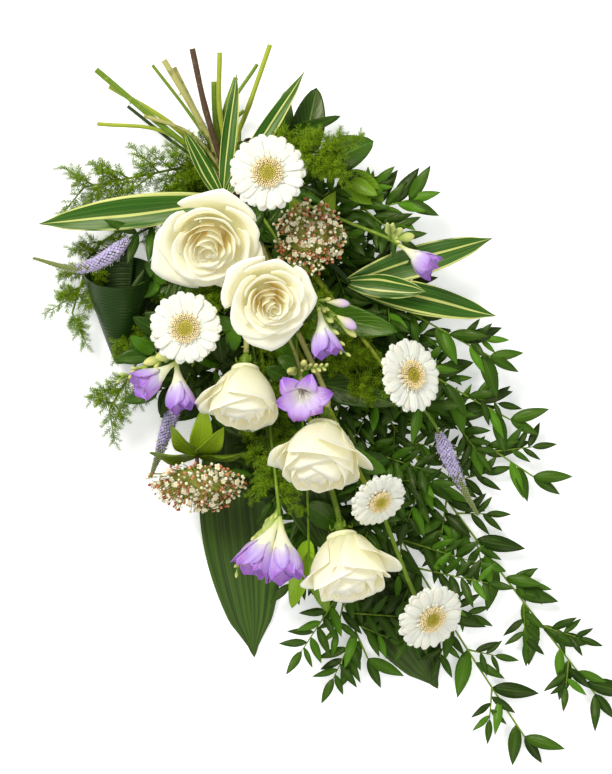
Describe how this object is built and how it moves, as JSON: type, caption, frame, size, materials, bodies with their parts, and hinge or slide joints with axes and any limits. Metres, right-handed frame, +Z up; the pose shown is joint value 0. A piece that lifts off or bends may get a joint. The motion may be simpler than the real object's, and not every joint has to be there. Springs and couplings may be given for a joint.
{
  "type": "flower sheaf",
  "caption": "Hand-tied funeral sheaf lying on its back: roses, gerberas, freesias, veronica and viburnum over trailing foliage, bound with twine round its stems.",
  "frame": {"origin": "on the table, under the middle of the tie that binds the stems", "axes": "+Z up from the table, +Y towards the cut stem ends, -Y towards the trailing tips, +X to the right as seen from above"},
  "size_m": [0.6092, 0.7245, 0.1728],
  "materials": {
    "dark_leaf": "glossy dark green leaf with fine veins",
    "fern": "matt bright green needles",
    "freesia_petals": "satin lilac tepals on a cream tube",
    "gerbera_disc_and_stem": "matt green stem under a yellow-green disc",
    "gerbera_petals": "matt white petals, cream near the disc",
    "green_stem": "satin fresh green stem",
    "rose_petals": "satin ivory petals, greener at the base",
    "ruscus_leaf": "glossy dark green leaf",
    "striped_leaf": "glossy green leaf with cream stripes",
    "twine": "matt jute twine",
    "veronica_florets": "matt lavender florets, green at the tip",
    "viburnum_florets": "matt white florets and salmon buds",
    "viburnum_leaf": "satin olive green leaf"
  },
  "bodies": {
    "root": {"asparagus_1": "fern", "asparagus_2": "fern", "asparagus_3": "fern", "asparagus_4": "fern", "asparagus_5": "fern", "asparagus_6": "fern", "asparagus_7": "fern", "aspidistra_1": "dark_leaf", "aspidistra_2": "dark_leaf", "aspidistra_3": "dark_leaf", "aspidistra_cone": "dark_leaf", "dracaena_1": "striped_leaf", "dracaena_2": "striped_leaf", "freesia_blooms_1": "freesia_petals", "freesia_blooms_2": "freesia_petals", "freesia_blooms_3": "freesia_petals", "freesia_blooms_4": "freesia_petals", "freesia_blooms_5": "freesia_petals", "freesia_stem_1": "green_stem", "freesia_stem_2": "green_stem", "freesia_stem_3": "green_stem", "freesia_stem_4": "green_stem", "freesia_stem_5": "green_stem", "gerbera_petals_1": "gerbera_petals", "gerbera_petals_2": "gerbera_petals", "gerbera_petals_3": "gerbera_petals", "gerbera_petals_4": "gerbera_petals", "gerbera_petals_5": "gerbera_petals", "gerbera_stem_1": "gerbera_disc_and_stem", "gerbera_stem_2": "gerbera_disc_and_stem", "gerbera_stem_3": "gerbera_disc_and_stem", "gerbera_stem_4": "gerbera_disc_and_stem", "gerbera_stem_5": "gerbera_disc_and_stem", "rose_head_1": "rose_petals", "rose_head_2": "rose_petals", "rose_head_3": "rose_petals", "rose_head_4": "rose_petals", "rose_head_5": "rose_petals", "rose_stem_1": "green_stem", "rose_stem_2": "green_stem", "rose_stem_3": "green_stem", "rose_stem_4": "green_stem", "rose_stem_5": "green_stem", "ruscus_1": "ruscus_leaf", "ruscus_2": "ruscus_leaf", "ruscus_3": "ruscus_leaf", "ruscus_4": "ruscus_leaf", "ruscus_5": "ruscus_leaf", "ruscus_6": "ruscus_leaf", "ruscus_7": "ruscus_leaf", "salal_1": "dark_leaf", "salal_2": "dark_leaf", "twine_tie": "twine", "veronica_1": "veronica_florets", "veronica_2": "veronica_florets", "veronica_3": "veronica_florets", "viburnum_head_1": "viburnum_florets", "viburnum_head_2": "viburnum_florets", "viburnum_leaves_1": "viburnum_leaf", "viburnum_leaves_2": "viburnum_leaf"}
  },
  "joints": []
}
